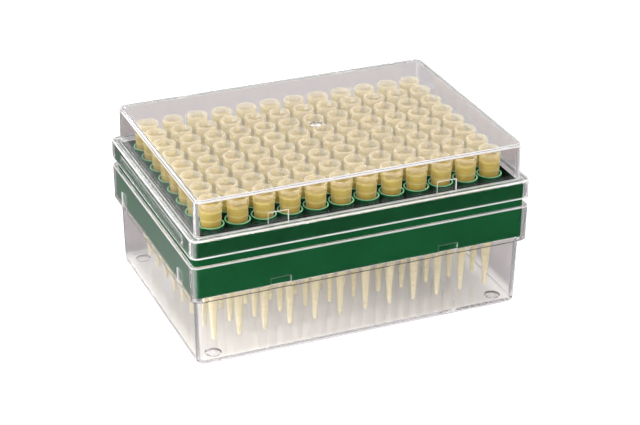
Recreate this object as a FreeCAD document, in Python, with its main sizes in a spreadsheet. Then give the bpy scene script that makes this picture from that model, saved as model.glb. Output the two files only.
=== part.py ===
"""Box of 96 pipette tips: a clear base and a clear lift-off lid around a green rack that carries the tips.

Frame: millimetres, +Z up, origin at the middle of the base's underside.
+X runs along the twelve columns and +Y along the eight rows.
"""

import FreeCAD, Part
import Sketcher
import math
import os

DIMENSIONS = {
    # the tip grid
    "pitch": 9.0,
    "columns": 12,
    "rows": 8,
    "sides": 8,  # flats round each tip and collar: few, because there are 96 of each
    # the outline shared by the rims of the base and the lid
    "box_length": 120.0,
    "box_width": 85.7,
    "wall": 1.3,
    "rim_corner": 4.0,
    "rim_draft": 0.6,
    # base: a tub with a flange standing out round its upper third
    "tub_length": 115.4,
    "tub_width": 81.0,
    "tub_corner": 3.0,
    "tub_draft": 1.0,
    "tub_height": 24.3,
    "flange_length": 119.74,
    "flange_width": 85.4,
    "rim_height": 37.2,
    "foot_bevel": 0.5,
    # stacking slots pressed into the flange's lower edge
    "slot_depth": 0.5,
    "slot_spread": 59.6,
    "slot_width": 7.0,
    "slot_rise": 4.2,
    "end_slot_spread": 59.2,
    "end_slot_width": 5.0,
    "end_slot_rise": 6.6,
    "end_slot_corner": 1.2,
    # round marks in the floor
    "mark_diameter": 5.5,
    "mark_depth": 0.4,
    "mark_spread_along": 102.0,
    "mark_spread_across": 70.0,
    # lid: a skirt round the rack and a narrower hood over the tips
    "skirt_foot": 40.1,
    "ledge_height": 46.8,
    "skirt_length": 119.86,
    "skirt_width": 85.56,
    "hood_length": 115.3,
    "hood_width": 81.0,
    "hood_corner": 2.6,
    "hood_draft": 0.7,
    "lid_top": 59.5,
    "top_round": 1.1,
    # recesses in the hood's long walls, just above the ledge
    "notch_spread": 59.4,
    "notch_width": 7.0,
    "notch_rise": 4.2,
    "notch_depth": 1.5,
    "gate_diameter": 4.2,
    "gate_depth": 0.3,
    # grip pads inside the skirt's two ends
    "grip_width": 64.0,
    "grip_top": 44.1,
    "grip_top_step": 0.3,
    "grip_foot_step": 0.7,
    "grip_clearance": 0.3,
    # rack: a walled deck with a collar for each tip
    "rack_length": 116.6,
    "rack_width": 82.3,
    "rack_corner": 2.4,
    "rack_wall": 1.5,
    "deck_top": 42.5,
    "deck_thickness": 1.6,
    "collar_top": 46.7,
    "collar_outside": 8.62,
    "collar_bore": 7.5,
    # tips: a hollow taper from the mouth down to a fine point
    "tip_top": 54.6,
    "tip_end": 4.2,
    "mouth_outside": 7.45,
    "mouth_bore": 6.0,
    "point_outside": 1.25,
    "point_bore": 0.55,
}

doc = FreeCAD.newDocument("tip_box")
sheet = doc.addObject("Spreadsheet::Sheet", "size")
for line, (alias, number) in enumerate(DIMENSIONS.items(), start=1):
    sheet.set(f"A{line}", alias)
    sheet.set(f"B{line}", str(number))
    sheet.setAlias(f"B{line}", alias)
doc.recompute()


def value(expression):
    """The number that an expression over the sheet comes to."""
    return float(sheet.evalExpression(expression))


def bind(item, **expressions):
    """Bind an object's properties to expressions over the sheet."""
    for name, expression in expressions.items():
        item.setExpression(name, expression)


# ---- sketches


def origin_item(body, role):
    """One of the body's own origin planes or axes."""
    return next(item for item in body.Origin.OriginFeatures if item.Role == role)


def new_sketch(body, name, role="XY_Plane", offset="0", along="0", across="0"):
    """A sketch on one of the body's origin planes, moved along the plane's normal and then within it."""
    sketch = body.newObject("Sketcher::SketchObject", name)
    sketch.AttachmentSupport = [(origin_item(body, role), "")]
    sketch.MapMode = "FlatFace"
    moves = {"AttachmentOffset.Base.x": along, "AttachmentOffset.Base.y": across}
    bind(sketch, **moves, **{"AttachmentOffset.Base.z": offset})
    return sketch


def constrain(sketch, *rules):
    """Add geometric constraints, each a tuple of a kind and what it ties."""
    sketch.addConstraint([Sketcher.Constraint(*rule) for rule in rules])


def dimension(sketch, name, kind, where, expression):
    """Add a dimension that is bound to an expression over the sheet."""
    index = sketch.addConstraint(Sketcher.Constraint(kind, *where, value(expression)))
    sketch.renameConstraint(index, name)
    sketch.setExpression(f"Constraints.{name}", expression)


def line(start, end):
    return Part.LineSegment(FreeCAD.Vector(*start, 0), FreeCAD.Vector(*end, 0))


def corner_arc(centre, radius, quarter):
    """A quarter circle, numbered anticlockwise from the one between +X and +Y."""
    circle = Part.Circle(FreeCAD.Vector(*centre, 0), FreeCAD.Vector(0, 0, 1), radius)
    return Part.ArcOfCircle(circle, quarter * math.pi / 2, (quarter + 1) * math.pi / 2)


START, END, CENTRE = 1, 2, 3
ORIGIN = (-1, 1)


def rectangle(sketch, width, height, x="0", y="0"):
    """An upright rectangle round a point of the sketch."""
    right, top = value(f"{x} + ({width}) / 2"), value(f"{y} + ({height}) / 2")
    left, bottom = right - value(width), top - value(height)
    low, far, high, near = sketch.addGeometry(
        [
            line((left, bottom), (right, bottom)),
            line((right, bottom), (right, top)),
            line((right, top), (left, top)),
            line((left, top), (left, bottom)),
        ],
        False,
    )
    for side, following in ((low, far), (far, high), (high, near), (near, low)):
        constrain(sketch, ("Coincident", side, END, following, START))
    constrain(sketch, ("Horizontal", low), ("Horizontal", high), ("Vertical", far), ("Vertical", near))
    dimension(sketch, "width", "DistanceX", (low, START, low, END), width)
    dimension(sketch, "height", "DistanceY", (far, START, far, END), height)
    dimension(sketch, "right", "DistanceX", (*ORIGIN, far, END), f"{x} + ({width}) / 2")
    dimension(sketch, "top", "DistanceY", (*ORIGIN, far, END), f"{y} + ({height}) / 2")


def arch(sketch, middle, foot, width, rise, corner):
    """A doorway outline with two round upper corners, standing on a level foot line."""
    x, z, w, h, r = (value(size) for size in (middle, foot, width, rise, corner))
    low, right, top, left, arc_right, arc_left = sketch.addGeometry(
        [
            line((x - w / 2, z), (x + w / 2, z)),
            line((x + w / 2, z), (x + w / 2, z + h - r)),
            line((x + w / 2 - r, z + h), (x - w / 2 + r, z + h)),
            line((x - w / 2, z + h - r), (x - w / 2, z)),
            corner_arc((x + w / 2 - r, z + h - r), r, 0),
            corner_arc((x - w / 2 + r, z + h - r), r, 1),
        ],
        False,
    )
    constrain(
        sketch,
        ("Coincident", low, END, right, START),
        ("Tangent", right, END, arc_right, START),
        ("Tangent", arc_right, END, top, START),
        ("Tangent", top, END, arc_left, START),
        ("Tangent", arc_left, END, left, START),
        ("Coincident", left, END, low, START),
        ("Horizontal", low),
        ("Vertical", right),
        ("Vertical", left),
        ("Equal", arc_right, arc_left),
    )
    dimension(sketch, "corner", "Radius", (arc_right,), corner)
    dimension(sketch, "width", "DistanceX", (low, START, low, END), width)
    dimension(sketch, "rise", "DistanceY", (low, END, top, START), rise)
    dimension(sketch, "far_side", "DistanceX", (*ORIGIN, low, END), f"{middle} + ({width}) / 2")
    dimension(sketch, "foot", "DistanceY", (*ORIGIN, low, END), foot)


def polygon(sketch, across):
    """A regular polygon round the sketch's origin, with flats facing +X and +Y."""
    count = round(value("size.sides"))
    outer = f"({across}) / 2 / cos(180 / size.sides)"
    angles = [(k - 0.5) * 2 * math.pi / count for k in range(count)]
    points = [(value(outer) * math.cos(a), value(outer) * math.sin(a)) for a in angles]
    flats = sketch.addGeometry([line(a, b) for a, b in zip(points, points[1:] + points[:1])], False)
    circle = sketch.addGeometry(
        Part.Circle(FreeCAD.Vector(), FreeCAD.Vector(0, 0, 1), value(outer)), True
    )
    constrain(sketch, ("Coincident", circle, CENTRE, *ORIGIN), ("Vertical", flats[0]))
    for flat, following in zip(flats, flats[1:] + flats[:1]):
        constrain(sketch, ("Coincident", flat, END, following, START))
        constrain(sketch, ("PointOnObject", flat, START, circle))
    constrain(sketch, *[("Equal", flats[0], flat) for flat in flats[1:-1]])
    dimension(sketch, "corners", "Radius", (circle,), outer)


def disc(sketch, diameter):
    """A circle round the sketch's origin."""
    outline = Part.Circle(FreeCAD.Vector(), FreeCAD.Vector(0, 0, 1), value(diameter) / 2)
    circle = sketch.addGeometry(outline, False)
    constrain(sketch, ("Coincident", circle, CENTRE, *ORIGIN))
    dimension(sketch, "diameter", "Diameter", (circle,), diameter)


# ---- features


def new_body(label):
    body = doc.addObject("PartDesign::Body", label)
    body.Label = label
    return body


def extrude(body, kind, name, sketch, length, backwards=False, both_ways=False):
    """A Pad or a Pocket of a sketch."""
    feature = body.newObject(f"PartDesign::{kind}", name)
    feature.Profile = sketch
    feature.Reversed = backwards
    feature.SideType = "Symmetric" if both_ways else "One side"
    bind(feature, Length=length)
    doc.recompute()
    return feature


def level_face(shape, height):
    """The name of the shape's level face at a height."""
    for index, face in enumerate(shape.Faces, start=1):
        if abs(face.BoundBox.ZMin - height) < 1e-6 and abs(face.BoundBox.ZMax - height) < 1e-6:
            return f"Face{index}"
    raise ValueError(f"no level face at {height}")


def upright_faces(shape):
    """The names of the shape's upright faces, flat or round."""
    names = []
    for index, face in enumerate(shape.Faces, start=1):
        middle = [sum(ends) / 2 for ends in zip(face.ParameterRange[::2], face.ParameterRange[1::2])]
        if abs(face.normalAt(*middle).z) < 1e-6:
            names.append(f"Face{index}")
    return names


def draft(body, name, hinge, angle, backwards=False):
    """Lean the faces that are still upright, about their edges at the hinge's height.

    A solid narrows with height and a hollow widens, and backwards is the other way round.
    """
    base = body.Tip
    feature = body.newObject("PartDesign::Draft", name)
    feature.Base = (base, upright_faces(base.Shape))
    feature.NeutralPlane = (base, [level_face(base.Shape, value(hinge))])
    feature.Reversed = backwards
    bind(feature, Angle=angle)
    doc.recompute()
    return feature


def dress(body, kind, name, edges, **sizes):
    """A Fillet or a Chamfer of numbered edges of the body."""
    base = body.Tip
    feature = body.newObject(f"PartDesign::{kind}", name)
    feature.Base = (base, [f"Edge{number}" for number in edges])
    bind(feature, **sizes)
    doc.recompute()
    return feature


def edges_between(shape, low, high):
    """The numbers of the edges that run from one height to another."""
    found = []
    for number, edge in enumerate(shape.Edges, start=1):
        box = edge.BoundBox
        if abs(box.ZMin - value(low)) < 1e-3 and abs(box.ZMax - value(high)) < 1e-3:
            found.append(number)
    return found


def mirror(body, name, originals, role):
    """Repeat features on the other side of one of the body's origin planes."""
    feature = body.newObject("PartDesign::Mirrored", name)
    feature.Originals = originals
    feature.MirrorPlane = (origin_item(body, role), [""])
    body.Tip = feature
    doc.recompute()
    return feature


def mirror_both(body, name, originals):
    """Repeat features in all four quarters of the body."""
    feature = body.newObject("PartDesign::MultiTransform", name)
    steps = []
    for role in ("YZ_Plane", "XZ_Plane"):
        step = body.newObject("PartDesign::Mirrored", f"{name}_{role[:2]}")
        step.MirrorPlane = (origin_item(body, role), [""])
        steps.append(step)
    feature.Originals = originals
    feature.Transformations = steps
    body.Tip = feature
    doc.recompute()
    return feature


def array(body, name, originals=(), columns=None):
    """Repeat features, or the whole body where none is named, one pitch apart.

    The copies run along +Y for each row, and along +X where a count of columns is given.
    """
    feature = body.newObject("PartDesign::LinearPattern", name)
    feature.Originals = originals
    feature.TransformMode = "Features" if originals else "Whole shape"
    feature.Direction = (origin_item(body, "Y_Axis"), [""])
    bind(feature, Length="size.pitch * (size.rows - 1)", Occurrences="size.rows")
    if columns:
        feature.Direction2 = (origin_item(body, "X_Axis"), [""])
        bind(feature, Length2=f"size.pitch * ({columns} - 1)", Occurrences2=columns)
    body.Tip = feature
    doc.recompute()
    return feature


def walls(body, kind, name, outline, foot, top, lean, hinged_at_top=False, backwards=False):
    """A rectangular Pad or Pocket between two heights, with drafted walls and round corners.

    The outline is a length, a width and a corner radius. The walls keep its size at the foot, or at the
    top where they are hinged there. Backwards turns their lean the other way.
    """
    length, width, corner = outline
    hinge = top if hinged_at_top else foot
    sketch = new_sketch(body, f"{name}_outline", offset=hinge)
    rectangle(sketch, length, width)
    downwards = hinged_at_top == (kind == "Pad")
    extrude(body, kind, name, sketch, f"{top} - ({foot})", backwards=downwards)
    draft(body, f"{name}_draft", hinge, lean, backwards)
    dress(body, "Fillet", f"{name}_corners", edges_between(body.Tip.Shape, foot, top), Radius=corner)


def inside(outline):
    """An outline one wall further in."""
    length, width, corner = outline
    return f"{length} - 2 * size.wall", f"{width} - 2 * size.wall", f"{corner} - size.wall"


TUB = ("size.tub_length", "size.tub_width", "size.tub_corner")
FLANGE = ("size.flange_length", "size.flange_width", "size.rim_corner")
SKIRT = ("size.skirt_length", "size.skirt_width", "size.rim_corner")
HOOD = ("size.hood_length", "size.hood_width", "size.hood_corner")
RACK = ("size.rack_length", "size.rack_width", "size.rack_corner")

SHELF = "size.tub_height + size.wall"
CEILING = "size.ledge_height - size.wall"
DECK_BOTTOM = "size.deck_top - size.deck_thickness"
FIRST_TIP = ("-size.pitch * (size.columns - 1) / 2", "-size.pitch * (size.rows - 1) / 2")


# ---- base


def stacking_slots(body):
    """Shallow slots in the flange's lower edge: two in each side, and two with round tops in each end."""
    side = new_sketch(body, "side_slot", "XZ_Plane", "size.box_width / 2")
    middle = "size.tub_height + size.slot_rise / 2"
    rectangle(side, "size.slot_width", "size.slot_rise", "size.slot_spread / 2", middle)
    reach = "(size.box_width - size.flange_width) / 2 + size.slot_depth"
    side_cut = extrude(body, "Pocket", "side_slot_cut", side, reach)
    mirror_both(body, "side_slots", [side_cut])
    end = new_sketch(body, "end_slot", "YZ_Plane", "size.box_length / 2")
    arch(
        end,
        "size.end_slot_spread / 2",
        "size.tub_height",
        "size.end_slot_width",
        "size.end_slot_rise",
        "size.end_slot_corner",
    )
    reach = "(size.box_length - size.flange_length) / 2 + size.slot_depth"
    end_cut = extrude(body, "Pocket", "end_slot_cut", end, reach)
    mirror_both(body, "end_slots", [end_cut])


def make_base():
    """A tub with an outward flange, both of one even wall, so that the step makes an inner shelf."""
    body = new_body("base")
    walls(body, "Pad", "tub", TUB, "0", "size.tub_height", "size.tub_draft", backwards=True)
    rim = "size.rim_height"
    walls(body, "Pad", "flange", FLANGE, "size.tub_height", rim, "size.rim_draft", backwards=True)
    walls(body, "Pocket", "rack_seat", inside(FLANGE), SHELF, rim, "size.rim_draft")
    walls(body, "Pocket", "well", inside(TUB), "size.wall", SHELF, "size.tub_draft")
    foot_edges = edges_between(body.Tip.Shape, "0", "0")
    dress(body, "Chamfer", "foot_bevel", foot_edges, Size="size.foot_bevel")
    stacking_slots(body)
    place = {"along": "size.mark_spread_along / 2", "across": "size.mark_spread_across / 2"}
    mark = new_sketch(body, "floor_mark", offset="size.wall", **place)
    polygon(mark, "size.mark_diameter")
    mark_cut = extrude(body, "Pocket", "floor_mark_cut", mark, "size.mark_depth")
    mirror_both(body, "floor_marks", [mark_cut])
    return body


# ---- lid


def stacking_notches(body):
    """Recesses in the hood's long walls just above the ledge, with the wall carried round behind them."""
    spread = "size.notch_spread / 2"
    behind = new_sketch(body, "notch_back", "XZ_Plane", "size.hood_width / 2 - size.wall / 2")
    rise = f"size.ledge_height + size.notch_rise + size.wall - ({CEILING})"
    middle = f"{CEILING} + ({rise}) / 2"
    rectangle(behind, "size.notch_width + 2 * size.wall", rise, spread, middle)
    inward = "size.notch_depth + size.wall / 2"
    back = extrude(body, "Pad", "notch_wall", behind, inward, backwards=True)
    mirror_both(body, "notch_walls", [back])
    front = new_sketch(body, "notch_front", "XZ_Plane", "size.hood_width / 2")
    middle = "size.ledge_height + size.notch_rise / 2"
    rectangle(front, "size.notch_width", "size.notch_rise", spread, middle)
    cut = extrude(body, "Pocket", "notch_cut", front, "size.notch_depth")
    mirror_both(body, "notch_cuts", [cut])


def grip_pads(body):
    """A wedge inside each end of the skirt, thickest at the foot."""
    wedge = new_sketch(body, "grip_wedge", "XZ_Plane")
    face = "size.skirt_length / 2 - size.wall"
    corners = [
        (f"{face} + size.wall / 2", "size.skirt_foot"),
        (f"{face} + size.wall / 2", "size.grip_top"),
        (f"{face} - size.grip_top_step", "size.grip_top"),
        (f"{face} - size.grip_foot_step", "size.skirt_foot"),
    ]
    points = [(value(x), value(z)) for x, z in corners]
    sides = wedge.addGeometry([line(a, b) for a, b in zip(points, points[1:] + points[:1])], False)
    for number, (side, following) in enumerate(zip(sides, sides[1:] + sides[:1])):
        constrain(wedge, ("Coincident", side, END, following, START))
        x, z = corners[number]
        dimension(wedge, f"along_{number}", "DistanceX", (*ORIGIN, side, START), x)
        dimension(wedge, f"height_{number}", "DistanceY", (*ORIGIN, side, START), z)
    pad = extrude(body, "Pad", "grip_pad", wedge, "size.grip_width", both_ways=True)
    mirror(body, "grip_pads", [pad], "YZ_Plane")


def make_lid():
    """A skirt that drops over the rack, stepping in at a ledge to a hood that clears the tips."""
    body = new_body("lid")
    foot, ledge, top = "size.skirt_foot", "size.ledge_height", "size.lid_top"
    walls(body, "Pad", "skirt", SKIRT, foot, ledge, "size.rim_draft", hinged_at_top=True)
    walls(body, "Pad", "hood", HOOD, ledge, top, "size.hood_draft")
    under_top = "size.lid_top - size.wall"
    walls(
        body,
        "Pocket",
        "skirt_hollow",
        inside(SKIRT),
        foot,
        CEILING,
        "size.rim_draft",
        hinged_at_top=True,
        backwards=True,
    )
    walls(body, "Pocket", "hood_hollow", inside(HOOD), CEILING, under_top, "size.hood_draft", backwards=True)
    top_edges = edges_between(body.Tip.Shape, top, top)
    dress(body, "Fillet", "top_round", top_edges, Radius="size.top_round")
    stacking_notches(body)
    grip_pads(body)
    gate = new_sketch(body, "gate", offset=top)
    disc(gate, "size.gate_diameter")
    extrude(body, "Pocket", "gate_mark", gate, "size.gate_depth")
    return body


# ---- rack


def make_rack():
    """A frame standing on the base's shelf, with a deck of tapered collars that the tips wedge into."""
    body = new_body("rack_frame")
    block = new_sketch(body, "block_outline", offset=SHELF)
    length, width, corner = RACK
    rectangle(block, length, width)
    extrude(body, "Pad", "block", block, f"{CEILING} - ({SHELF})")
    corners = edges_between(body.Tip.Shape, SHELF, CEILING)
    dress(body, "Fillet", "block_corners", corners, Radius=corner)
    inner = (f"{length} - 2 * size.rack_wall", f"{width} - 2 * size.rack_wall")
    above = new_sketch(body, "above_deck", offset=CEILING)
    rectangle(above, *inner)
    extrude(body, "Pocket", "tray", above, f"{CEILING} - size.deck_top")
    below = new_sketch(body, "below_deck", offset=SHELF)
    rectangle(below, *inner)
    extrude(body, "Pocket", "hollow", below, f"{DECK_BOTTOM} - ({SHELF})", backwards=True)

    inset = "size.skirt_length / 2 - size.wall - size.grip_foot_step - size.grip_clearance"
    end = new_sketch(body, "grip_relief", "YZ_Plane", "size.rack_length / 2")
    drop = f"{CEILING} - size.skirt_foot + size.grip_clearance"
    middle = f"{CEILING} - ({drop}) / 2"
    rectangle(end, "size.grip_width + 2 * size.grip_clearance", drop, y=middle)
    cut = extrude(body, "Pocket", "grip_relief_cut", end, f"size.rack_length / 2 - ({inset})")
    mirror(body, "grip_reliefs", [cut], "YZ_Plane")

    ring = new_sketch(body, "collar_ring", "XY_Plane", "size.deck_top", *FIRST_TIP)
    polygon(ring, "size.collar_outside")
    collar = extrude(body, "Pad", "collar", ring, "size.collar_top - size.deck_top")
    array(body, "collars", [collar], "size.columns")

    rack = doc.addObject("Part::Cut", "bored_rack")
    rack.Label = "tip_rack"
    rack.Base = body
    rack.Tool = make_bores()
    return rack


def make_bores():
    """What hollows the collars: tapers that close in to the tips' own size under the deck."""
    body = new_body("bores")
    body.AllowCompound = True
    share = f"({DECK_BOTTOM} - size.tip_end) / (size.tip_top - size.tip_end)"
    seat = f"size.point_outside + (size.mouth_outside - size.point_outside) * {share}"
    rise = f"size.collar_top - ({DECK_BOTTOM})"
    foot = new_sketch(body, "bore_foot", "XY_Plane", DECK_BOTTOM, *FIRST_TIP)
    polygon(foot, seat)
    extrude(body, "Pad", "bore", foot, rise)
    lean = f"atan((size.collar_bore - ({seat})) / 2 / ({rise}))"
    draft(body, "bore_draft", DECK_BOTTOM, lean, backwards=True)
    array(body, "bore_grid", columns="size.columns")
    return body


# ---- tips


def make_tip_column():
    """The tips of one column, on the plane x = 0: hollow tapers, open at both ends."""
    body = new_body("tip_column")
    body.AllowCompound = True
    length = "size.tip_top - size.tip_end"
    for kind, face in (("Pad", "outside"), ("Pocket", "bore")):
        point = new_sketch(body, f"point_{face}", "XY_Plane", "size.tip_end", "0", FIRST_TIP[1])
        polygon(point, f"size.point_{face}")
        extrude(body, kind, f"tip_{face}", point, length, backwards=kind == "Pocket")
        lean = f"atan((size.mouth_{face} - size.point_{face}) / 2 / ({length}))"
        draft(body, f"tip_{face}_draft", "size.tip_end", lean, backwards=kind == "Pad")
    array(body, "tips")
    return body


def place_columns(column):
    """One copy of the column of tips for each column of the grid."""
    placed = []
    for number in range(round(value("size.columns"))):
        copy = doc.addObject("Part::Compound", f"column_{number + 1:02d}")
        copy.Label = f"tips_column_{number + 1:02d}"
        copy.Links = [column]
        copy.setExpression("Placement.Base.x", f"size.pitch * {number} + {FIRST_TIP[0]}")
        placed.append(copy)
    return placed


def write(pieces):
    """Stop on any failed object, then write each piece to its own file."""
    doc.recompute()
    for item in doc.Objects:
        if {"Invalid", "Error"} & set(item.State):
            raise RuntimeError(f"{item.Label} didn't build: {item.State}")
    for piece in pieces:
        if piece.Shape.isNull() or not piece.Shape.isValid():
            raise RuntimeError(f"{piece.Label} has no valid shape")
    os.makedirs("parts", exist_ok=True)
    for piece in pieces:
        piece.Shape.exportStep(f"parts/{piece.Label}.step")


write([make_base(), make_rack(), make_lid(), *place_columns(make_tip_column())])
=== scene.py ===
"""The looks of the box of pipette tips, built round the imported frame.

Metres, +Z up, origin at the middle of the base's underside, +X along the twelve columns.
Lengths in this file are written in millimetres and turned into metres where a mesh is made.
"""

import math
import random

import bmesh
import bpy
from mathutils import Matrix, Vector


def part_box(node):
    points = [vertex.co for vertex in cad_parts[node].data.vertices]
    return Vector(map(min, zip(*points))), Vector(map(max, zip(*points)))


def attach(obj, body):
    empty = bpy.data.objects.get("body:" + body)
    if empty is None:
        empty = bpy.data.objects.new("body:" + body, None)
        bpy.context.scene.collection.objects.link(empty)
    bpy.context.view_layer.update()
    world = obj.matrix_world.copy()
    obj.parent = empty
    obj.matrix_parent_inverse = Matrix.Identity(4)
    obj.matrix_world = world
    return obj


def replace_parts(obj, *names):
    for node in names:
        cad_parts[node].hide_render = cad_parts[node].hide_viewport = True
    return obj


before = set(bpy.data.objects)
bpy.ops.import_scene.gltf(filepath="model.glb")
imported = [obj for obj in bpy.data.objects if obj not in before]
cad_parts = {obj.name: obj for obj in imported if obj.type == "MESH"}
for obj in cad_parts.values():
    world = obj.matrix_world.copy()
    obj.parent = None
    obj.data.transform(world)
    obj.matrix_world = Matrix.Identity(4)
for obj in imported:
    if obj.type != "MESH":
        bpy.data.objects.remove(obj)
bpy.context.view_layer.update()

MM = 0.001
BOX, LID = "box", "lid"
PITCH, COLUMNS, ROWS = 9.0, 12, 8


def extent(node):
    """The lowest and highest corners of a CAD node at rest, to a hundredth of a millimetre."""
    return [[round(value / MM, 2) for value in corner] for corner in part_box(node)]


_, (_, _, BASE_TOP) = extent("base")
(_, _, LID_FOOT), (_, _, ROOF_TOP) = extent("lid")
(_, _, RACK_FOOT), (RACK_X, RACK_Y, COLLAR_TOP) = extent("tip_rack")
(_, _, TIP_BOTTOM), (_, _, TIP_TOP) = extent("tips_column_01")
FLOOR_TOP, DECK_BOTTOM, DECK_TOP, LEDGE_TOP = 1.3, 40.9, 42.5, 46.8

# The places in CLEAR, after plain clear plastic, of the painted edge highlight, the faint painted highlight
# and the painted dark line of shade, and of the deck's copy with painted shade in GREEN
PAINTED_HIGHLIGHT, FAINT_PAINTED_HIGHLIGHT, PAINTED_DARK_LINE = 1, 2, 3
DECK = 1
SLOTS = 4

# How many steps an outline has round half a corner and along a side
ARC, ALONG = 5, 40

# Edges are rounded from SHARP_EDGE degrees. A bend takes at most MOST_SHARE of the side next to it.
EDGE_WIDTH, FINE_EDGE_WIDTH, SHARP_EDGE, MOST_SHARE = 0.28, 0.15, 45, 0.45
# Points closer than WELD are merged, and faces thinner than SLIVER are dissolved
WELD, SLIVER = 0.002, 0.003

scene = bpy.context.scene
scene.view_settings.view_transform = "Standard"
# Clear walls guide light along themselves, and their edges turn black where the bounces run out
scene.cycles.max_bounces = 96
scene.cycles.glossy_bounces = 80
scene.cycles.transmission_bounces = 64
scene.cycles.transparent_max_bounces = 32


# ---- mesh helpers


def add_piece(name, bm, materials, body, sharp=40):
    """Turn a bmesh in millimetres into a piece that rides on a body."""
    bmesh.ops.recalc_face_normals(bm, faces=bm.faces)
    mesh = bpy.data.meshes.new(name)
    bm.to_mesh(mesh)
    bm.free()
    mesh.transform(Matrix.Scale(MM, 4))
    mesh.shade_smooth()
    mesh.set_sharp_from_angle(angle=math.radians(sharp))
    for material in materials:
        mesh.materials.append(material)
    piece = bpy.data.objects.new(name, mesh)
    scene.collection.objects.link(piece)
    level = piece.modifiers.new("level_normals", "WEIGHTED_NORMAL")
    level.keep_sharp = True
    level.weight = 100
    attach(piece, body)
    return piece


def skin(bm, rings, closed=False, kinds=None, uprights=()):
    """Quads between neighbouring rings of vertices, and from the last to the first where closed.

    kinds gives the material number of a strip, such as a painted edge highlight, where it isn't the piece's
    first material.
    The quads whose number along a ring is in uprights take the faint painted highlight in every other
    strip.
    """
    kinds = kinds or {}
    pairs = list(zip(rings, rings[1:]))
    if closed:
        pairs.append((rings[-1], rings[0]))
    for number, (low, high) in enumerate(pairs):
        count = len(low)
        for k in range(count):
            n = (k + 1) % count
            face = bm.faces.new((low[k], low[n], high[n], high[k]))
            face.material_index = kinds.get(number, FAINT_PAINTED_HIGHLIGHT if k in uprights else 0)


def capped(bm, rings):
    """Close a stack of rings at both ends."""
    bm.faces.new(rings[0])
    bm.faces.new(rings[-1])


def soften(points, sizes, steps=3):
    """Round the bends of an open profile of points (z, ...), each by its own size."""
    result = []
    for k, point in enumerate(points):
        if sizes[k] == 0 or k in (0, len(points) - 1):
            result.append(tuple(point))
            continue
        here = Vector(point)
        ends = []
        for other in (Vector(points[k - 1]), Vector(points[k + 1])):
            run = other - here
            reach = math.hypot(run[0], run[1])
            ends.append(here + run * min(sizes[k] / reach, MOST_SHARE))
        for step in range(steps + 1):
            t = step / steps
            blend = ends[0] * (1 - t) ** 2 + here * (2 * t * (1 - t)) + ends[1] * t**2
            result.append(tuple(blend))
    return result


def edge_strips(sizes, corners, flats=(), steps=3):
    """The strips of a softened profile on the given corners, and on the flats after the given corners."""
    strips, number = [], 0
    for corner, size in enumerate(sizes):
        inner = range(number, number + (steps if size else 0))
        number += len(inner)
        if corner in corners:
            strips.extend(inner)
        if corner in flats:
            strips.append(number)
        number += 1
    return strips


def turned_quarter(points, quarter):
    """Points on the +X side, turned round to one of the four sides, anticlockwise."""
    turn = quarter * math.pi / 2
    cos, sin = math.cos(turn), math.sin(turn)
    return [(x * cos - y * sin, x * sin + y * cos) for x, y in points]


def rounded(half_x, half_y, corner, along=(ALONG, ALONG)):
    """Points round a rectangle with round corners, anticlockwise from the corner at +X -Y.

    along gives the steps on the straight of a side that faces X, and of one that faces Y.
    """
    points = []
    for quarter in range(4):
        a, b = (half_x, half_y) if quarter % 2 == 0 else (half_y, half_x)
        steps = along[quarter % 2]
        side = []
        for j in range(ARC):
            angle = -math.pi / 4 * (1 - j / ARC)
            side.append((a - corner + corner * math.cos(angle), -b + corner + corner * math.sin(angle)))
        for j in range(steps + 1):
            side.append((a, (-b + corner) + (2 * b - 2 * corner) * j / steps))
        for j in range(1, ARC):
            angle = math.pi / 4 * j / ARC
            side.append((a - corner + corner * math.cos(angle), b - corner + corner * math.sin(angle)))
        points.extend(turned_quarter(side, quarter))
    return points


def corner_quads(reach):
    """The numbers of the quads within reach of each corner's middle, round an outline from rounded()."""
    quarter = 2 * ARC + ALONG
    return {(quarter * turn + k) % (4 * quarter) for turn in range(4) for k in range(-reach, reach)}


def moulded(profile, kinds):
    """A bmesh of a clear shell from a profile of (z, half x, half y, corner), with a faint painted
    highlight on its upright edges.
    """
    bm = bmesh.new()
    rings = []
    for z, half_x, half_y, corner in profile:
        rings.append([bm.verts.new((x, y, z)) for x, y in rounded(half_x, half_y, corner)])
    skin(bm, rings, kinds=kinds, uprights=corner_quads(2))
    capped(bm, rings)
    return bm


def circle(count):
    return [2 * math.pi * k / count for k in range(count)]


def turned(bm, profile, centre, count, tilt):
    """A turned part: profile points are (z, radius) round an upright axis, then tilted and moved."""
    rings = []
    for z, radius in profile:
        ring = []
        for angle in circle(count):
            spot = tilt @ Vector((radius * math.cos(angle), radius * math.sin(angle), z))
            ring.append(bm.verts.new(spot + centre))
        rings.append(ring)
    skin(bm, rings, closed=True)


def prism(points, axis, start, end, edges=(), kind=PAINTED_HIGHLIGHT):
    """A bmesh prism of an outline in the plane across the X or Y axis, from start to end along it.

    The sides numbered in edges take the material number that kind gives.
    """
    bm = bmesh.new()
    order = {"X": lambda a, b, c: (c, a, b), "Y": lambda a, b, c: (a, c, b)}[axis]
    rings = [[bm.verts.new(order(a, b, level)) for a, b in points] for level in (start, end)]
    skin(bm, rings)
    bm.faces.ensure_lookup_table()
    for side in edges:
        bm.faces[side].material_index = kind
    capped(bm, rings)
    bmesh.ops.recalc_face_normals(bm, faces=bm.faces)
    return bm


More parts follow.
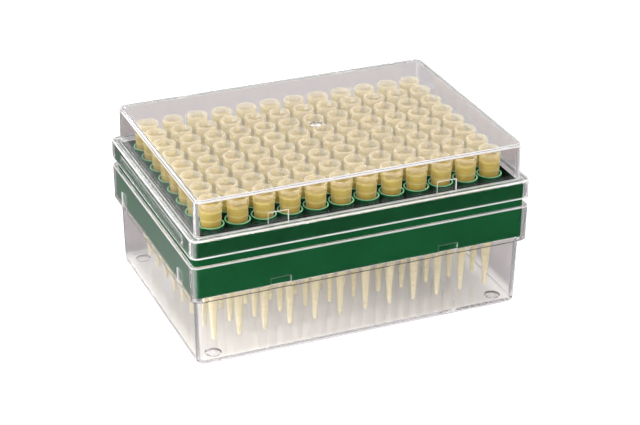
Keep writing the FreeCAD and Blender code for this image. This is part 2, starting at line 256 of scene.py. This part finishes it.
def dish(x, y, z, radius, depth, kinds):
    """A tool that sinks a round hollow into a face at height z and leaves a low dome in its middle."""
    above, slope, rise, steps, inner = 2.0, 0.2, 0.85, 5, 0.76 * radius
    profile = [(z + above, radius), (z, radius), (z - depth, radius - slope), (z - depth, inner)]
    for step in range(1, steps):
        angle = math.pi / 2 * step / steps
        profile.append((z - depth * (1 - rise * math.sin(angle)), inner * math.cos(angle)))
    bm = bmesh.new()
    rings = []
    for height, reach in profile:
        spots = [(x + reach * math.cos(a), y + reach * math.sin(a), height) for a in circle(40)]
        rings.append([bm.verts.new(spot) for spot in spots])
    skin(bm, rings, kinds=kinds)
    capped(bm, rings)
    bmesh.ops.recalc_face_normals(bm, faces=bm.faces)
    return bm


def rect(x0, z0, x1, z1):
    return [(x0, z0), (x1, z0), (x1, z1), (x0, z1)]


def holder(bm, name):
    """A scratch object for a bmesh in millimetres, with empty slots to keep its faces' material numbers."""
    bmesh.ops.recalc_face_normals(bm, faces=bm.faces)
    mesh = bpy.data.meshes.new(name)
    bm.to_mesh(mesh)
    bm.free()
    for _ in range(SLOTS):
        mesh.materials.append(None)
    item = bpy.data.objects.new(name, mesh)
    scene.collection.objects.link(item)
    return item


def carve(bm, tools, width=EDGE_WIDTH):
    """Add or take away tools, each given as (operation, bmesh), and round the sharp edges that are left,
    giving the rounds the painted edge highlight.
    """
    shape = holder(bm, "shape")
    made = []
    for number, (operation, tool) in enumerate(tools):
        cutter = holder(tool, f"tool_{number}")
        made.append(cutter)
        step = shape.modifiers.new(f"cut_{number}", "BOOLEAN")
        step.operation = operation
        step.object = cutter
        step.solver = "EXACT"
    edge = shape.modifiers.new("edges", "BEVEL")
    edge.width = width
    edge.segments = 2
    edge.limit_method = "ANGLE"
    edge.angle_limit = math.radians(SHARP_EDGE)
    # the rounds of carved edges take the painted edge highlight
    edge.material = PAINTED_HIGHLIGHT
    bpy.context.view_layer.update()
    solid = bpy.data.meshes.new_from_object(shape.evaluated_get(bpy.context.evaluated_depsgraph_get()))
    for item in [shape, *made]:
        bpy.data.objects.remove(item)
    result = bmesh.new()
    result.from_mesh(solid)
    bpy.data.meshes.remove(solid)
    bmesh.ops.dissolve_degenerate(result, dist=SLIVER, edges=result.edges)
    return result


# ---- materials


class Nodes:
    """A short way to build the node tree of a material, or of a world."""

    def __init__(self, owner, output="OutputMaterial"):
        self.owner = owner
        self.owner.use_nodes = True
        self.tree = self.owner.node_tree
        self.tree.nodes.clear()
        self.output = self.tree.nodes.new(f"ShaderNode{output}")

    def add(self, kind, inputs=None, **settings):
        node = self.tree.nodes.new(f"ShaderNode{kind}")
        for key, item in settings.items():
            setattr(node, key, item)
        for key, item in (inputs or {}).items():
            if isinstance(item, bpy.types.NodeSocket):
                self.tree.links.new(item, node.inputs[key])
            else:
                node.inputs[key].default_value = item
        return node

    def finish(self, shader):
        self.tree.links.new(shader, self.output.inputs["Surface"])
        return self.owner

    def place(self):
        return self.add("TexCoord").outputs["Object"]

    def parts(self):
        """The X, Y and Z of the place, by name."""
        return self.add("SeparateXYZ", {"Vector": self.place()}).outputs

    def noise(self, scale, detail, where=None):
        inputs = {"Vector": where or self.place(), "Scale": scale, "Detail": detail}
        return self.add("TexNoise", inputs).outputs[0]

    def span(self, source, low, high, to_low, to_high):
        inputs = {"Value": source, "From Min": low, "From Max": high, "To Min": to_low, "To Max": to_high}
        return self.add("MapRange", inputs).outputs[0]

    def span_mm(self, source, low, high, to_low, to_high):
        """span() between two places in millimetres."""
        return self.span(source, low * MM, high * MM, to_low, to_high)

    def product(self, one, *others):
        for other in others:
            one = self.add("Math", {0: one, 1: other}, operation="MULTIPLY").outputs[0]
        return one

    def total(self, one, other):
        """The sum, at most 1."""
        return self.add("Math", {0: one, 1: other}, operation="ADD", use_clamp=True).outputs[0]

    def vector(self, operation, *inputs):
        return self.add("VectorMath", dict(enumerate(inputs)), operation=operation).outputs[0]

    def length(self, vector):
        return self.add("VectorMath", {0: vector}, operation="LENGTH").outputs["Value"]

    def grey(self, level):
        return self.add("CombineColor", {0: level, 1: level, 2: level}).outputs[0]

    def mixed(self, share, one, other, blend="MIX"):
        inputs = {"Factor": share, 6: one, 7: other}
        return self.add("Mix", inputs, data_type="RGBA", blend_type=blend).outputs[2]

    def tinted(self, colour, tint):
        return self.mixed(1.0, colour, tint, "MULTIPLY")

    def either(self, share, one, other):
        """The first shader, and the share of the second."""
        return self.add("MixShader", {0: share, 1: one, 2: other}).outputs[0]

    def ramp(self, source, stops):
        node = self.add("ValToRGB", {"Fac": source})
        elements = node.color_ramp.elements
        while len(elements) < len(stops):
            elements.new(0.5)
        for element, (spot, colour) in zip(elements, stops):
            element.position = spot
            element.color = (*colour, 1)
        return node.outputs["Color"]

    def bump(self, height, strength, distance):
        return self.add("Bump", {"Height": height, "Strength": strength, "Distance": distance}).outputs[0]


def new_material(name):
    return Nodes(bpy.data.materials.new(name))


def clear_plastic(name, painted_share=0, painted_colour=(0.96, 0.94, 0.95, 1)):
    """Clear moulded plastic. A share of the light can go to a painted layer: white for painted highlights
    on edges, dark for painted dark lines of shade.
    """
    nodes = new_material(name)
    cloud = nodes.noise(35.0, 4.0)
    scuffs = nodes.noise(900.0, 2.0)
    tint = nodes.ramp(cloud, [(0.3, (0.955, 0.945, 0.95)), (0.7, (0.975, 0.968, 0.97))])
    plastic = nodes.add(
        "BsdfPrincipled",
        {
            "Base Color": tint,
            "Roughness": nodes.span(scuffs, 0.35, 0.75, 0.012, 0.04),
            "IOR": 1.57,
            "Transmission Weight": 1.0,
            "Normal": nodes.bump(cloud, 0.02, 0.0005),
        },
    )
    surface = plastic.outputs[0]
    if painted_share:
        # the painted layer, matte and glowing, in the painted colour
        glow_share = 0.4
        painted_matte = nodes.add("BsdfDiffuse", {"Color": painted_colour}).outputs[0]
        glow = nodes.add("BsdfTranslucent", {"Color": painted_colour}).outputs[0]
        surface = nodes.either(painted_share, surface, nodes.either(glow_share, painted_matte, glow))
    passed = nodes.add("BsdfTransparent", {"Color": (0.965, 0.96, 0.963, 1)}).outputs[0]
    shadow_ray = nodes.add("LightPath").outputs["Is Shadow Ray"]
    return nodes.finish(nodes.either(shadow_ray, surface, passed))


def green_plastic(name, heights, shades, gloss):
    """Green moulded plastic, its colour scaled from one height to the other as painted light and shade,
    with a painted highlight at the rim of the collars.
    """
    nodes = new_material(name)
    cloud = nodes.noise(60.0, 4.0)
    grain = nodes.noise(2600.0, 2.0)
    height = nodes.parts()["Z"]
    colour = nodes.ramp(cloud, [(0.3, (0.0042, 0.064, 0.0195)), (0.7, (0.0056, 0.077, 0.0235))])
    colour = nodes.tinted(colour, nodes.grey(nodes.span_mm(height, *heights, *shades)))
    # a painted highlight along the top of each collar's rim
    rim = nodes.span_mm(height, COLLAR_TOP - 0.1, COLLAR_TOP - 0.01, 0.0, 1.0)
    plastic = nodes.add(
        "BsdfPrincipled",
        {
            "Base Color": nodes.mixed(rim, colour, (0.20, 0.50, 0.26, 1)),
            "Roughness": nodes.span(grain, 0.3, 0.7, 0.42, 0.52),
            "IOR": 1.49,
            "Specular IOR Level": gloss,
            "Normal": nodes.bump(grain, 0.12, 0.00008),
        },
    )
    return nodes.finish(plastic.outputs[0])


# A tip's colour by the share of its length: pale towards the point, deepest just above its collar as
# painted shade, pale lines at its rings as painted highlights, and a dark line under its head as painted
# shadow
TIP_COLOURS_AND_PAINTED_LIGHT = [
    (0.0, (1.0, 0.95, 0.77)),
    (0.70, (1.0, 0.93, 0.69)),
    (0.84, (0.50, 0.35, 0.08)),
    (0.864, (0.57, 0.445, 0.115)),
    (0.876, (0.61, 0.50, 0.145)),
    (0.884, (0.77, 0.68, 0.32)),
    (0.892, (0.60, 0.49, 0.14)),
    (0.936, (0.66, 0.57, 0.19)),
    (0.941, (0.90, 0.84, 0.42)),
    (0.946, (0.62, 0.50, 0.25)),
    (0.952, (0.74, 0.66, 0.30)),
    (0.978, (1.0, 0.94, 0.73)),
    (1.0, (1.0, 0.945, 0.82)),
]


def tip_plastic():
    """Milky plastic, clearer where a tip is thin and where it is seen face on."""
    glow_share, bore_share = 0.38, 0.2
    nodes = new_material("tinted_polypropylene")
    height = nodes.parts()["Z"]
    # the colour up a tip, with its painted shade, highlights and shadow
    colour = nodes.ramp(nodes.span_mm(height, TIP_BOTTOM, TIP_TOP, 0.0, 1.0), TIP_COLOURS_AND_PAINTED_LIGHT)

    # how far a place is from the axis of its tip, in pitches, tells a bore's wall from the outside
    cell = nodes.vector("FRACTION", nodes.vector("MULTIPLY", nodes.place(), (1 / (PITCH * MM),) * 3))
    cell = nodes.vector("MULTIPLY", nodes.vector("SUBTRACT", cell, (0.5, 0.5, 0.0)), (1, 1, 0))
    inside = nodes.product(
        nodes.span(nodes.length(cell), 3.12 / PITCH, 3.2 / PITCH, 1.0, 0.0),
        nodes.span_mm(height, 46.0, 47.0, 0.0, 1.0),
    )
    colour = nodes.tinted(colour, nodes.mixed(inside, (1, 1, 1, 1), (0.98, 0.925, 0.87, 1)))
    stretched = nodes.vector("MULTIPLY", nodes.place(), (0.12, 0.12, 1.0))
    ripple = nodes.span(nodes.noise(2000.0, 3.0, stretched), 0.3, 0.7, 0.90, 1.06)
    colour = nodes.tinted(colour, nodes.grey(ripple))

    skin_shader = nodes.add(
        "BsdfPrincipled",
        {
            "Base Color": colour,
            "Roughness": nodes.span(nodes.noise(300.0, 2.0), 0.3, 0.7, 0.16, 0.26),
            "IOR": 1.5,
            "Sheen Weight": 1.0,
            "Sheen Roughness": 0.3,
            "Sheen Tint": (1.0, 0.97, 0.80, 1),
        },
    ).outputs[0]
    glow = nodes.add("BsdfTranslucent", {"Color": colour}).outputs[0]
    milky = nodes.either(glow_share, skin_shader, glow)
    clear = nodes.add("BsdfTransparent", {"Color": (0.985, 0.955, 0.84, 1)}).outputs[0]
    facing = nodes.add("LayerWeight", {"Blend": 0.5}).outputs["Facing"]
    share = nodes.total(nodes.span(facing, 0.0, 1.0, 0.50, 1.0), nodes.product(inside, bore_share))
    thick = nodes.span_mm(height, 51.0, 46.0, 0.0, 0.34)
    thick = nodes.product(thick, nodes.span_mm(height, 38.0, 42.0, 0.7, 1.0))
    thin_rim = nodes.span_mm(height, 52.0, 52.4, 1.0, 0.36)
    share = nodes.product(nodes.total(share, thick), thin_rim)
    return nodes.finish(nodes.either(share, clear, milky))


# The milky edges are painted highlights: full on edges, faint on upright corners and flats
CLEAR = [
    clear_plastic("clear_polystyrene"),
    clear_plastic("polystyrene_painted_edge_highlight", 0.68),
    clear_plastic("polystyrene_faint_painted_highlight", 0.13),
    # painted dark lines of shade at inner corners and under ledges
    clear_plastic("polystyrene_painted_dark_line", 0.5, (0.10, 0.08, 0.08, 1)),
]
GREEN = [
    # outer walls: painted light, lighter low on the walls and darker from 41 mm up; deck and collars:
    # painted shade, darkest low between the collars
    green_plastic("green_polypropylene", (37.0, 41.0), (1.12, 0.73), 0.05),
    green_plastic("green_polypropylene_deck_painted_shade", (43.5, 46.5), (0.15, 0.60), 0.0),
]
TIP = tip_plastic()


# ---- base and lid, whose profiles are (z, half x, half y, corner) with a size for each bend


def arch_outline(middle, bottom, spring, half_width, corner, steps=7):
    """An upright slot's outline, open below and rounded above."""
    points = [(middle - half_width, bottom), (middle + half_width, bottom)]
    for side, start in ((1, 0), (-1, 1)):
        for k in range(steps):
            angle = math.pi / 2 * (start + k / (steps - 1))
            y = middle + side * (half_width - corner) + corner * math.cos(angle)
            points.append((y, spring + corner * math.sin(angle)))
    return points


def make_base():
    """A tub whose upper third steps out to a flange, with stacking slots and four floor marks."""
    flange_foot = 24.3
    profile = [
        (0.0, 57.2, 40.0, 2.5),
        (0.5, 57.709, 40.509, 3.0),
        (flange_foot, 58.124, 40.924, 3.0),
        (flange_foot, 59.87, 42.7, 2.6),
        (BASE_TOP, 60.0, 42.83, 2.6),
        (BASE_TOP, 58.7, 41.53, 1.6),
        (RACK_FOOT, 58.57, 41.4, 1.6),
        (RACK_FOOT, 56.824, 39.624, 1.7),
        (FLOOR_TOP, 56.4, 39.2, 1.7),
        (FLOOR_TOP, 55.0, 37.8, 1.0),
    ]
    sizes = [0, 0.5, 0.25, 0.45, 0.4, 0.3, 0.3, 0.4, 0.5, 0]
    # painted highlights round the foot and the flange's top edges; painted dark lines of shade round the
    # flange's underside, the rack's seat and the floor's inner edge
    kinds = dict.fromkeys(edge_strips(sizes, (1, 4, 5), flats=(0,)), PAINTED_HIGHLIGHT)
    floor_edge = edge_strips(sizes, (8,))
    kinds.update(dict.fromkeys([*edge_strips(sizes, (2, 3, 7)), floor_edge[1]], PAINTED_DARK_LINE))
    bm = moulded(soften(profile, sizes), kinds)

    slot_x, slot_y, slot_width, slot_top = 29.8, 42.2, 7.0, 28.5
    arch_x, arch_y, arch_width, arch_spring, arch_corner = 59.35, 29.6, 5.0, 29.7, 1.2
    below, past = 23.0, 2.0
    mark_x, mark_y, mark_radius, mark_depth = 51, 35, 2.75, 0.7
    # each floor mark: painted dark lines on its wall and the dome's foot, painted highlights on its bottom
    # ring and the dome's top
    mark_kinds = {1: PAINTED_DARK_LINE, 2: PAINTED_HIGHLIGHT, 3: PAINTED_DARK_LINE, 5: PAINTED_HIGHLIGHT, 6: PAINTED_HIGHLIGHT}
    tools = []
    for side in (-1, 1):
        for end in (-1, 1):
            x, y = slot_x * end, slot_y * side
            slot = rect(x - slot_width / 2, below, x + slot_width / 2, slot_top)
            # slot sides take the faint painted highlight, arch sides the painted edge highlight
            tools.append(("DIFFERENCE", prism(slot, "Y", y, y + past * side, edges=range(4), kind=FAINT_PAINTED_HIGHLIGHT)))
            x, y = arch_x * end, arch_y * side
            arch = arch_outline(y, below, arch_spring, arch_width / 2, arch_corner)
            tools.append(("DIFFERENCE", prism(arch, "X", x, x + past * end, edges=range(len(arch)))))
            mark = dish(mark_x * end, mark_y * side, FLOOR_TOP, mark_radius, mark_depth, mark_kinds)
            tools.append(("DIFFERENCE", mark))
    return add_piece("base_shell", carve(bm, tools), CLEAR, BOX, sharp=30)


def make_lid():
    """A skirt that steps in at a ledge to a tall hood with a rounded top edge."""
    roof, under_ledge = 58.2, 45.8
    profile = [
        (ROOF_TOP, 56.0, 38.8, 1.6),
        (ROOF_TOP, 57.495, 40.345, 2.6),
        (LEDGE_TOP, 57.65, 40.5, 2.6),
        (LEDGE_TOP, 59.93, 42.78, 2.6),
        (LID_FOOT, 60.0, 42.85, 2.6),
        (LID_FOOT, 58.69, 41.54, 1.6),
        (under_ledge, 58.63, 41.48, 1.6),
        (under_ledge, 57.7, 40.55, 1.6),
        (under_ledge, 56.349, 39.199, 1.3),
        (roof, 56.194, 39.044, 1.3),
        (roof, 55.0, 37.8, 0.8),
    ]
    sizes, steps = [0, 1.1, 0.25, 0.4, 0.35, 0.3, 0.3, 0, 0.3, 0.45, 0], 7
    # painted highlights on the outer edges and part of the ledge's underside, but for three clear strips of
    # the top's round; a faint painted highlight under the ledge; painted dark lines of shade at the hood's
    # foot and inside the top's edge
    outer_edges = edge_strips(sizes, (1, 2, 3, 4, 5), flats=(7,), steps=steps)
    clear_top_strips = (1, 4, 5)
    kinds = {number: PAINTED_HIGHLIGHT for number in outer_edges if number not in clear_top_strips}
    kinds.update(dict.fromkeys(edge_strips(sizes, (), flats=(6,), steps=steps), FAINT_PAINTED_HIGHLIGHT))
    hood_foot, inner_top = edge_strips(sizes, (2,), steps=steps), edge_strips(sizes, (9,), steps=steps)
    kinds.update(dict.fromkeys(hood_foot[3:] + inner_top[1:5], PAINTED_DARK_LINE))
    bm = moulded(soften(profile, sizes, steps), kinds)

    notch_x, notch_width, notch_foot, notch_top = 29.7, 7.0, LEDGE_TOP - 0.02, 51.0
    notch_in, notch_out = 39.7, 41.5
    tools = []
    for side in (-1, 1):
        for end in (-1, 1):
            x = notch_x * end
            notch = rect(x - notch_width / 2, notch_foot, x + notch_width / 2, notch_top)
            # the notches' sides take the painted edge highlight
            cutter = prism(notch, "Y", notch_in * side, notch_out * side, edges=range(1, 4))
            tools.append(("DIFFERENCE", cutter))
    # the lip's top edges take the painted edge highlight
    wedge = [(59.28, 40.12), (59.28, 44.1), (58.3, 44.1), (58.2, 43.9), (58.2, 40.5), (58.45, 40.12)]
    wedge_half = 32.0
    for end in (-1, 1):
        outline = [(end * x, z) for x, z in wedge]
        tools.append(("UNION", prism(outline, "Y", -wedge_half, wedge_half, edges=(1, 2))))
    gate_radius, gate_depth = 2.1, 0.55
    # the gate mark: a painted dark line on its wall, a painted highlight on its ring and a faint one on its
    # dome
    gate_kinds = {1: PAINTED_DARK_LINE, 2: PAINTED_HIGHLIGHT, 3: FAINT_PAINTED_HIGHLIGHT, 4: FAINT_PAINTED_HIGHLIGHT}
    tools.append(("DIFFERENCE", dish(0, 0, ROOF_TOP, gate_radius, gate_depth, gate_kinds)))
    return add_piece("lid_shell", carve(bm, tools), CLEAR, LID, sharp=30)


# ---- rack


def cell_middle(column, row):
    return Vector((PITCH * (column - (COLUMNS - 1) / 2), PITCH * (row - (ROWS - 1) / 2), 0))


def grid_outline(segments):
    """The points round the whole grid of cells, anticlockwise from the corner at +X -Y."""
    half = PITCH / 2
    steps = [half * math.tan(math.pi / 4 * (2 * j / segments - 1)) for j in range(segments)]
    points = []
    for quarter in range(4):
        cells, across = (ROWS, COLUMNS) if quarter % 2 == 0 else (COLUMNS, ROWS)
        middles = [PITCH * (cell - (cells - 1) / 2) for cell in range(cells)]
        side = [(across * half, middle + step) for middle in middles for step in steps]
        points.extend(turned_quarter(side, quarter))
    return points


def add_collars(bm, segments):
    """The grid of cells: in each a square of deck, a collar on it, a bore down and a square underneath.

    A side of a square has as many segments as a quarter of a collar.
    """
    outside = 4.31
    collar = [
        (DECK_TOP, PITCH / 2),
        (DECK_TOP, outside),
        (COLLAR_TOP, outside),
        (COLLAR_TOP, 3.75),
        (DECK_BOTTOM, 2.9),
        (DECK_BOTTOM, 4.4),
    ]
    collar = soften(collar, [0, 0, 0.16, 0.16, 0.2, 0])
    squares = (0, len(collar) - 1)
    for column in range(COLUMNS):
        for row in range(ROWS):
            centre = cell_middle(column, row)
            rings = []
            for number, (z, radius) in enumerate(collar):
                ring = []
                for angle in circle(4 * segments):
                    x, y = math.cos(angle), math.sin(angle)
                    reach = PITCH / 2 / max(abs(x), abs(y)) if number in squares else radius
                    ring.append(bm.verts.new(centre + Vector((x * reach, y * reach, z))))
                rings.append(ring)
            skin(bm, rings)


def make_rack():
    """A walled deck with a thin collar round every bore, open underneath."""
    wall, wall_top, segments = 1.5, 45.75, 10
    inner_x, inner_y = RACK_X - wall, RACK_Y - wall
    bm = bmesh.new()
    add_collars(bm, segments)
    inside, outside = (inner_x, inner_y, 1.0), (RACK_X, RACK_Y, 1.5)
    profile = [
        (DECK_TOP, *inside),
        (wall_top, *inside),
        (wall_top, *outside),
        (RACK_FOOT, *outside),
        (RACK_FOOT, *inside),
        (DECK_BOTTOM, *inside),
    ]
    along = [cells * segments - 2 * ARC for cells in (ROWS, COLUMNS)]
    levels = [(z, rounded(*size, along)) for z, *size in soften(profile, [0, 0.3, 0.3, 0.3, 0.3, 0])]
    grid = grid_outline(segments)
    levels = [(DECK_TOP, grid), *levels, (DECK_BOTTOM, grid)]
    skin(bm, [[bm.verts.new((x, y, z)) for x, y in points] for z, points in levels])
    bmesh.ops.remove_doubles(bm, verts=bm.verts, dist=WELD)

    relief_half, relief_foot, relief_top, relief_in, relief_out = 32.3, 39.8, 46.0, 57.63, 59.0
    relief = rect(-relief_half, relief_foot, relief_half, relief_top)
    tools = [("DIFFERENCE", prism(relief, "X", end * relief_in, end * relief_out)) for end in (-1, 1)]
    solid = carve(bm, tools, FINE_EDGE_WIDTH)
    slack, above = 0.05, 0.3
    # faces inside the walls, above the deck's underside, take the deck copy with painted shade
    for face in solid.faces:
        middle = face.calc_center_median()
        within = abs(middle.x) < inner_x + slack and abs(middle.y) < inner_y + slack
        face.material_index = DECK if within and middle.z > DECK_BOTTOM + above else 0
    rack = add_piece("rack_moulding", solid, GREEN, BOX, sharp=35)
    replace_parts(rack, "tip_rack")
    return rack


# ---- tips

# Each tip's (z, radius), up the outside and down the bore
TIP_PROFILE = [
    # the point and the tapers
    (TIP_BOTTOM, 0.44),
    (TIP_BOTTOM, 0.62),
    (4.4, 0.72),
    (14.0, 1.32),
    (21.5, 1.8),
    (31.0, 2.35),
    (40.9, 2.82),
    (43.0, 2.93),
    (43.9, 3.1),
    (46.7, 3.24),
    # the lower ring
    (48.55, 3.32),
    (48.65, 3.42),
    (48.85, 3.44),
    (48.95, 3.35),
    # the upper ring
    (51.35, 3.44),
    (51.45, 3.54),
    (51.6, 3.54),
    (51.7, 3.45),
    # the head and its rim
    (52.1, 3.46),
    (52.2, 3.62),
    (54.1, 3.69),
    (54.45, 3.7),
    (54.57, 3.63),
    (TIP_TOP, 3.5),
    (TIP_TOP, 3.25),
    (54.54, 3.1),
    # the bore
    (54.3, 3.05),
    (52.0, 2.98),
    (48.0, 2.86),
    (43.6, 2.62),
    (41.0, 2.3),
    (30.0, 1.6),
    (21.5, 1.0),
    (12.0, 0.6),
    (4.3, 0.34),
]


def make_tips():
    """One piece for each column of tips, every tip standing a little off plumb in its collar."""
    most_lean, most_drop, sides = 0.45, 0.12, 32
    draw = random.Random(96)
    seat = Vector((0, 0, 43.0))
    for column in range(COLUMNS):
        bm = bmesh.new()
        for row in range(ROWS):
            lean = Matrix.Rotation(math.radians(draw.uniform(0, most_lean)), 4, "X")
            heading = Matrix.Rotation(draw.uniform(0, 2 * math.pi), 4, "Z")
            turn = heading @ lean @ heading.inverted()
            tilt = Matrix.Translation(seat) @ turn @ Matrix.Translation(-seat)
            drop = Vector((0, 0, -draw.uniform(0, most_drop)))
            turned(bm, TIP_PROFILE, cell_middle(column, row) + drop, sides, tilt)
        name = f"tips_{column + 1:02d}"
        piece = add_piece(name, bm, [TIP], BOX, sharp=60)
        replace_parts(piece, f"tips_column_{column + 1:02d}")


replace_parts(make_base(), "base")
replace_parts(make_lid(), "lid")
make_rack()
make_tips()


# ---- stage


def floor_paint():
    """Pale paper, white to the camera. To rays that come by the plastic it is painted: greyer within 0.3 m
    of the box, with painted shade to the right, a darker painted reflection, and near black in front.

    Under the box it is a warm grey with a painted glow of light, so clear walls show grey over a bright
    floor inside the box.
    """
    nodes = new_material("pale_floor")
    rays = nodes.add("LightPath").outputs
    spot = nodes.parts()
    x, y = spot["X"], spot["Y"]
    away = nodes.length(nodes.vector("MULTIPLY", nodes.place(), (1, 1, 0)))

    # where the box stands, the floor round it, and the parts of that to the right and in front
    beneath = nodes.product(
        nodes.span_mm(x, -62.5, -58.5, 0.0, 1.0),
        nodes.span_mm(x, 58.5, 62.5, 1.0, 0.0),
        nodes.span_mm(y, -45.5, -41.5, 0.0, 1.0),
        nodes.span_mm(y, 41.5, 45.5, 1.0, 0.0),
    )
    beside = nodes.product(nodes.span(beneath, 0.0, 1.0, 1.0, 0.0), nodes.span_mm(away, 200, 320, 1.0, 0.0))
    right = nodes.product(nodes.span_mm(x, 60, 70, 0.0, 1.0), nodes.span_mm(y, 40, 60, 1.0, 0.0))
    front = nodes.product(nodes.span_mm(y, -70, -40, 1.0, 0.0), nodes.span_mm(x, -90, -60, 0.0, 1.0))

    colour = nodes.ramp(nodes.noise(1.5, 2.0), [(0.0, (0.80, 0.79, 0.80)), (1.0, (0.82, 0.81, 0.82))])
    by_plastic = rays["Is Glossy Ray"]
    # to rays by the plastic, the floor beside the box is painted grey as painted shade, darker to the right
    painted_grey_beside = nodes.mixed(right, (0.435, 0.39, 0.40, 1), (0.57, 0.54, 0.56, 1))
    colour = nodes.mixed(nodes.product(by_plastic, beside), colour, painted_grey_beside)
    # and painted a warm grey under the box
    colour = nodes.mixed(nodes.product(by_plastic, beneath), colour, (0.66, 0.65, 0.63, 1))
    once = {0: rays["Glossy Depth"], 1: 1.0, 2: 0.5}
    mirrored = nodes.product(nodes.add("Math", once, operation="COMPARE").outputs[0], beside)
    # where the plastic mirrors the floor once: a painted reflection of darker grey, darker further back,
    # and near black in front
    painted_reflection_shade = nodes.product(nodes.span_mm(y, 20, 110, 0.30, 0.17), nodes.span_mm(x, -85, -64, 0.85, 1.0))
    colour = nodes.mixed(mirrored, colour, nodes.grey(painted_reflection_shade))
    colour = nodes.mixed(nodes.product(front, mirrored), colour, (0.02, 0.02, 0.02, 1))
    matte = nodes.add("BsdfDiffuse", {"Color": colour}).outputs[0]

    # a painted glow on the floor under the box for rays by the plastic, weaker to the right and back; the
    # camera sees the floor lifted to white
    painted_glow_beneath = nodes.product(
        beneath,
        nodes.span_mm(x, -60, 0, 0.40, 0.46),
        nodes.span_mm(x, 0, 60, 1.0, 0.50),
        nodes.span_mm(y, -30, 40, 1.08, 0.50),
    )
    seen = rays["Is Camera Ray"]
    strength = nodes.total(nodes.product(seen, 0.5), nodes.product(by_plastic, painted_glow_beneath))
    tone = nodes.mixed(seen, (1.0, 0.975, 0.93, 1), (1, 1, 1, 1))
    lift = nodes.add("Emission", {"Color": tone, "Strength": strength}).outputs[0]
    return nodes.finish(nodes.add("AddShader", {0: matte, 1: lift}).outputs[0])


def make_floor():
    half_side, gap = 6.0, 0.3 * MM
    bm = bmesh.new()
    bmesh.ops.create_grid(bm, x_segments=24, y_segments=24, size=half_side)
    mesh = bpy.data.meshes.new("floor")
    bm.to_mesh(mesh)
    bm.free()
    mesh.materials.append(floor_paint())
    floor = bpy.data.objects.new("floor", mesh)
    floor.location.z = -gap
    scene.collection.objects.link(floor)


def make_world():
    """Soft light all round, and a white page where the camera, a mirror or a clear wall shows the world."""
    world = bpy.data.worlds.new("studio")
    nodes = Nodes(world, "OutputWorld")
    rays = nodes.add("LightPath").outputs
    shown = rays["Is Camera Ray"]
    for kind in ("Is Glossy Ray", "Is Transmission Ray"):
        shown = nodes.add("Math", {0: shown, 1: rays[kind]}, operation="MAXIMUM").outputs[0]
    light = nodes.add("Background", {"Color": (0.97, 0.98, 1.0, 1), "Strength": 0.62}).outputs[0]
    page = nodes.add("Background", {"Color": (1, 1, 1, 1)}).outputs[0]
    scene.world = nodes.finish(nodes.either(shown, light, page))


def add_lamp(name, spot, size, power):
    """A rectangular lamp that faces the middle of the box. Its place and size are in metres."""
    lamp = bpy.data.lights.new(name, "AREA")
    lamp.shape = "RECTANGLE"
    lamp.size, lamp.size_y = size
    lamp.energy = power
    item = bpy.data.objects.new(name, lamp)
    item.location = spot
    item.rotation_euler = (Vector((0, 0, 0.03)) - Vector(spot)).to_track_quat("-Z", "Y").to_euler()
    scene.collection.objects.link(item)
    return item


def make_camera():
    """The photo's view: a long lens, from above and left of the front, turned a little on its axis."""
    spot, aim = Vector((-229.26, -549.85, 327.41)) * MM, Vector((-5.596, -16.905, 35.0)) * MM
    roll = math.radians(0.274)
    camera = bpy.data.cameras.new("camera")
    camera.sensor_width = 36.0
    camera.lens = 108.73
    camera.clip_start = 0.01
    item = bpy.data.objects.new("camera", camera)
    turn = (aim - spot).to_track_quat("-Z", "Y").to_matrix().to_4x4()
    item.matrix_world = Matrix.Translation(spot) @ turn @ Matrix.Rotation(roll, 4, "Z")
    scene.collection.objects.link(item)
    scene.camera = item


make_floor()
make_world()
overhead = add_lamp("overhead", (0.25, -0.12, 1.15), (0.5, 0.3), 5.0)
overhead.visible_glossy = False
add_lamp("rim", (0.0, 1.1, 0.8), (0.3, 0.3), 3.5)
add_lamp("key", (-0.38, -0.32, 0.40), (0.25, 0.3), 0.7)
add_lamp("fill", (0.9, -0.5, 0.6), (0.3, 0.5), 0.6)
add_lamp("front", (-0.4, -1.0, 0.25), (0.5, 0.25), 3.9)
add_lamp("side", (-1.1, 0.15, 0.45), (0.3, 0.3), 5.6)
make_camera()
